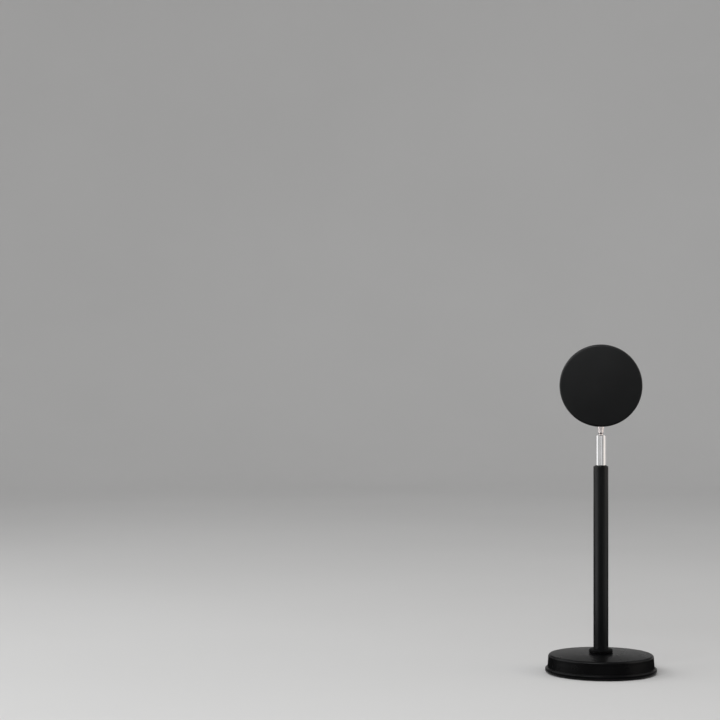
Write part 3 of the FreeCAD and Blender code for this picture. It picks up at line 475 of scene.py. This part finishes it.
# foot pad: soft ring with a shallow groove near its edge
turned("foot_pad_soft", rounded([
    (0.0, 0.0), (39.4, 0.0, 0.1), (39.6, 0.25, 0.1), (40.4, 0.25, 0.1), (40.6, 0.0, 0.1), (42.95, 0.0, 0.3),
    (42.95, 1.15, 0.1), (0.0, 1.15)], 4),
    "base", RUBBER, ["foot_pad"], segs=192)

turned("collar_ring", rounded([
    (6.2, 16.82), (9.6, 16.82, 0.15), (9.78, 17.2, 0.25), (9.78, 20.08, 1.3), (6.35, 20.08, 0.15), (6.2, 19.9)], 8),
    "base", COLLAR, ["pole_collar"], segs=192)

turned("pole_tube", rounded([
    (4.85, 16.82), (6.2, 16.82), (6.2, 171.98, 0.45), (4.85, 171.98, 0.1)], 6),
    "base", POLE, ["pole"], segs=192)

turned("pole_end_bush", rounded([
    (1.3, 160.1), (4.8, 160.1), (4.8, 172.0), (5.18, 172.05, 0.06), (5.18, 172.47, 0.15), (3.1, 172.5),
    (3.1, 175.9), (2.5, 175.9), (2.5, 178.1), (3.1, 178.1), (3.1, 181.5, 0.3), (1.3, 181.5)], 4),
    "base", POLE, ["pole_top_insert"], segs=128)

# ---------------------------------------------------------------------------
# Swivel
# ---------------------------------------------------------------------------

lip_a = math.degrees(math.asin(1.55 / 3.15))
socket_outline = rounded([
    (3.15, 172.56), (4.18, 172.56, 0.3), (4.18, 197.68, 0.32), (3.78, 197.68, 0.08), (2.80, 195.2, 0.08)], 6)
socket_outline += arc(0.0, 193.6, 3.15, lip_a - 1.0, 0.0, 8)
socket = turned("swivel_cup", socket_outline, "socket", CHROME, ["swivel_socket"], segs=192)


def slot_cutter():
    pts = [(1.75, 199.0), (-1.75, 199.0)] + arc(0.0, 193.6, 1.75, 180.0, 360.0, 24)
    bm = bmesh.new()
    near = [bm.verts.new((x * MM, 0.5 * MM, z * MM)) for x, z in pts]
    far = [bm.verts.new((x * MM, 6.5 * MM, z * MM)) for x, z in pts]
    bm.faces.new(near)
    bm.faces.new(list(reversed(far)))
    for i in range(len(pts)):
        j = (i + 1) % len(pts)
        bm.faces.new((near[i], far[i], far[j], near[j]))
    bmesh.ops.recalc_face_normals(bm, faces=bm.faces)
    me = bpy.data.meshes.new("slot")
    bm.to_mesh(me)
    bm.free()
    ob = bpy.data.objects.new("slot", me)
    bpy.context.scene.collection.objects.link(ob)
    return ob


carve(socket, [slot_cutter(), rod("g1", (0, 0.0027, 0.177), (0, 0.006, 0.177), 0.00102)])

ball_outline = arc(0.0, 193.6, 3.1, -math.degrees(math.acos(0.8 / 3.1)), math.degrees(math.acos(1.5 / 3.1)), 40)
ball_outline += arc(0.85, 200.0, 1.35, -61.0, 0.0, 10)
ball_outline += rounded([(2.2, 202.2), (2.2, 202.92, 0.06), (2.58, 203.0, 0.1), (2.58, 205.48, 0.15), (2.0, 205.5), (2.0, 213.4, 0.3), (0.8, 213.4)], 4)
turned("ball_and_stud", ball_outline, "stud", NICKEL, ["ball_stud"], segs=128)

# ---------------------------------------------------------------------------
# Head: turned about the drum's axis, which points along +Y
# ---------------------------------------------------------------------------

HEAD_AT = (0.0, 0.0, 0.2393)

back_outline = [(0.0, -24.0)]
for k in range(1, 11):
    f = k / 10.0
    back_outline.append((32.4 * f, -24.0 + 0.9 * f * f))
back_outline += arc(32.4, -21.6, 1.5, -87.0, 0.0, 10)[1:]
back_outline += rounded([(33.9, -20.0), (33.9, -16.05, 0.25), (32.7, -16.05, 0.05), (32.65, -21.9, 0.3), (0.0, -21.9)], 5)
turned("rear_cap", back_outline, "head", MATT, ["rear_cover"], along="Y", at=HEAD_AT, segs=256)

drum_outline = rounded([
    (31.4, -19.95), (32.55, -19.95, 0.2), (32.55, -16.0), (33.88, -15.95, 0.28), (33.88, 19.95, 0.28), (31.5, 20.0),
    (31.4, 8.5), (27.5, 8.5), (27.5, 6.5), (31.4, 6.5), (31.4, -10.0), (27.5, -10.0), (27.5, -12.0), (31.4, -12.0)], 5)
drum = turned("drum_shell", drum_outline, "head", MATT, ["head_shell"], along="Y", at=HEAD_AT, segs=256)
carve(drum, [rod("d1", (0, 0, 0.2040), (0, 0, 0.20555), 0.0030), rod("d2", (0, 0, 0.204), (0, 0, 0.212), 0.00206)])

bezel_outline = rounded([
    (30.2, 14.5), (31.4, 14.5), (31.4, 20.02), (33.88, 20.05, 0.28), (33.88, 23.98, 1.0), (29.9, 23.98, 0.35),
    (27.6, 21.9, 0.15), (27.6, 21.25, 0.05), (30.2, 21.2)], 6)
turned("front_ring", bezel_outline, "head", MATT, ["front_bezel"], along="Y", at=HEAD_AT, segs=256)

lens_edge = 20.5
apex = lens_edge + 70.0 - math.sqrt(70.0 ** 2 - 28.0 ** 2)
lens_outline = [(0.0, 17.3), (29.85, 17.3), (30.08, 17.5), (30.08, 20.35), (29.95, 20.48), (28.0, 20.5)]
for k in range(1, 25):
    r = 28.0 * (1.0 - k / 24.0)
    lens_outline.append((r, apex - 70.0 + math.sqrt(70.0 ** 2 - r * r)))
turned("domed_lens", lens_outline, "head", LENS, ["lens"], along="Y", at=HEAD_AT, segs=192)

# ---------------------------------------------------------------------------
# Carried-over construction pieces and their finishes
# ---------------------------------------------------------------------------

FINISH = {
    "base_bottom_plate": ZINC, "base_weight": IRON, "base_screws": ZINC, "pole_stem": ZINC, "stem_washer": ZINC,
    "stem_nut": ZINC, "pole_lead": JACKET, "socket_grub_screw": ZINC, "ball_seat": NYLON, "seat_bush": RUBBER,
    "stud_washer": ZINC, "stud_spring_washer": ZINC, "stud_nut": ZINC, "lens_gasket": RUBBER, "lens_retainer": MATT,
    "reflector": SILVER, "colour_filter": FILTER_PAINTED_GLOW, "filter_ring": MATT, "reflector_screws": ZINC, "heat_sink": ALU,
    "heat_sink_screws": ZINC, "led_board": BOARD, "led_chip": PHOSPHOR, "led_screws": ZINC, "head_lead": JACKET,
}
for name, mat in FINISH.items():
    ob = NODES[name]
    ob.data.materials.clear()
    ob.data.materials.append(mat)

# ---------------------------------------------------------------------------
# Plain floor and soft studio light
# ---------------------------------------------------------------------------


def cove():
    """Floor that rises into a plain wall all around."""
    prof = [(0.0, 0.0), (0.6, 0.0), (1.2, 0.0), (1.8, 0.0), (2.3, 0.0)]
    prof += [(2.3 + 1.3 * math.sin(math.radians(4.5 * k)), 1.3 - 1.3 * math.cos(math.radians(4.5 * k))) for k in range(1, 21)]
    prof += [(3.6, 1.9)]
    bm = bmesh.new()
    segs = 128
    rows = []
    for r, z in prof:
        if r == 0.0:
            rows.append([bm.verts.new((0.0, 0.0, 0.0))])
        else:
            rows.append([bm.verts.new((r * math.cos(2 * math.pi * k / segs), r * math.sin(2 * math.pi * k / segs), z)) for k in range(segs)])
    for a, b in zip(rows, rows[1:]):
        for k in range(segs):
            j = (k + 1) % segs
            if len(a) == 1:
                bm.faces.new((a[0], b[k], b[j]))
            else:
                bm.faces.new((a[k], b[k], b[j], a[j]))
    me = bpy.data.meshes.new("cove")
    bm.to_mesh(me)
    bm.free()
    for p in me.polygons:
        p.use_smooth = True
    ob = bpy.data.objects.new("cove", me)
    bpy.context.scene.collection.objects.link(ob)
    t = Tree("pale_paper")
    at = t.coords()
    t.link(t.ramp(t.span(t.noise(at, 2.0, 3.0, 0.5), 0.3, 0.7), [(0.0, (0.65, 0.645, 0.64)), (1.0, (0.67, 0.665, 0.66))]), t.bsdf.inputs["Base Color"])
    t.set(Roughness=0.9)
    t.bsdf.inputs["Specular IOR Level"].default_value = 0.0
    me.materials.append(t.mat)


cove()


def softbox(name, az, dist, low, high, wide, glow, colour=(1.0, 1.0, 1.0), aim=None):
    """Upright soft light. az is the angle from the direction lamp to camera,
    positive to the right; glow is how bright its face is."""
    a = math.radians(az)
    mid = Vector((dist * math.sin(a), -dist * math.cos(a), (low + high) / 2.0))
    to = Vector((0.0, 0.0, mid.z)) if aim is None else Vector(aim)
    data = bpy.data.lights.new(name, "AREA")
    data.shape = "RECTANGLE"
    data.size = wide
    data.size_y = high - low
    data.energy = glow * wide * (high - low) * math.pi
    data.color = colour
    ob = bpy.data.objects.new(name, data)
    bpy.context.scene.collection.objects.link(ob)
    ob.location = mid
    ob.rotation_euler = (to - mid).to_track_quat("-Z", "Y").to_euler()
    ob.visible_camera = False
    return ob


softbox("left_box", -95.0, 1.5, 0.50, 1.6, 1.1, 1.5)
softbox("left_front_box", -62.0, 1.55, 0.50, 1.5, 0.62, 2.6)
softbox("right_box", 84.0, 1.5, 0.50, 1.6, 1.1, 1.3, (1.0, 0.94, 0.88))
softbox("head_light", -20.0, 1.75, 0.95, 1.75, 1.5, 5.2, (0.97, 0.99, 1.0), (0.0, 0.0, 0.24))


def card(name, az0, az1, rad, low, high, glow, shade=0.02, flat=None, tint=(1.0, 1.0, 1.0)):
    """Curved card around the lamp, out of the camera's view: white ones glow
    a little, black ones only darken reflections. flat = (r0, r1) lays it down
    on the floor."""
    bm = bmesh.new()
    n = 24
    rows = []
    for k in range(n + 1):
        a = math.radians(az0 + (az1 - az0) * k / n)
        if flat:
            rows.append([bm.verts.new((r * math.sin(a), -r * math.cos(a), low)) for r in flat])
        else:
            rows.append([bm.verts.new((rad * math.sin(a), -rad * math.cos(a), z)) for z in (low, high)])
    for r0, r1 in zip(rows, rows[1:]):
        bm.faces.new((r0[0], r1[0], r1[1], r0[1]))
    me = bpy.data.meshes.new(name)
    bm.to_mesh(me)
    bm.free()
    ob = bpy.data.objects.new(name, me)
    bpy.context.scene.collection.objects.link(ob)
    t = Tree(name)
    at = t.coords()
    n = t.noise(at, 4.0, 2.0, 0.5)
    if glow > 0.0:
        t.link(t.ramp(t.span(n, 0.3, 0.7), [(0.0, tuple(0.97 * c for c in tint)), (1.0, tint)]), t.bsdf.inputs["Emission Color"])
        t.bsdf.inputs["Emission Strength"].default_value = glow
        t.bsdf.inputs["Base Color"].default_value = (0.0, 0.0, 0.0, 1.0)
    else:
        t.link(t.ramp(t.span(n, 0.3, 0.7), [(0.0, (shade, shade, shade)), (1.0, (shade * 1.2, shade * 1.2, shade * 1.2))]), t.bsdf.inputs["Base Color"])
    ob.visible_diffuse = False
    ob.visible_shadow = False
    t.set(Roughness=0.9)
    t.bsdf.inputs["Specular IOR Level"].default_value = 0.0
    me.materials.append(t.mat)
    ob.visible_camera = False
    return ob


card("white_card_left", -66.0, 9.0, 2.05, 0.02, 0.20, 0.53)
card("white_card_bright", 11.0, 27.0, 2.05, 0.02, 0.20, 0.80)
card("white_card_upper", -22.0, 10.0, 2.04, 0.1205, 0.205, 0.78)
card("white_low_left", -115.0, -75.0, 1.6, 0.0, 0.50, 1.25)
card("white_low_front_left", -75.0, -52.0, 1.6, 0.24, 0.50, 2.2)
card("white_low_right", 64.0, 104.0, 1.6, 0.0, 0.50, 1.1, tint=(1.0, 0.94, 0.88))
card("white_floor_left", -90.0, -48.0, 0.0, 0.002, 0.002, 1.6, 0.0, (0.30, 1.45))
card("white_floor_right", 56.0, 84.0, 0.0, 0.002, 0.002, 0.6, 0.0, (0.30, 1.45))
card("black_floor_card", -34.0, 32.0, 0.0, 0.002, 0.002, 0.0, 0.02, (0.26, 1.95))
card("white_card_back", 112.0, 160.0, 2.05, 0.0, 0.22, 0.75, tint=(1.0, 0.95, 0.93))
card("black_floor_ring", -180.0, 180.0, 0.0, 0.0016, 0.0016, 0.0, 0.01, (0.048, 0.27))
card("black_floor_back_left", -178.0, -104.0, 0.0, 0.002, 0.002, 0.0, 0.02, (0.20, 2.2))
card("black_floor_back_right", 112.0, 178.0, 0.0, 0.002, 0.002, 0.0, 0.02, (0.20, 2.2))
card("black_flag", -58.0, 58.0, 2.05, 0.21, 0.90, 0.0)
card("black_back_upper", 140.0, 220.0, 2.25, 0.66, 1.30, 0.0, 0.01)

world = bpy.data.worlds.new("studio")
world.use_nodes = True
bg = world.node_tree.nodes["Background"]
bg.inputs["Color"].default_value = (0.99, 0.995, 1.0, 1.0)
bg.inputs["Strength"].default_value = 0.5
bpy.context.scene.world = world

bpy.context.scene.view_settings.view_transform = "Standard"
bpy.context.scene.view_settings.look = "None"

bpy.context.view_layer.update()
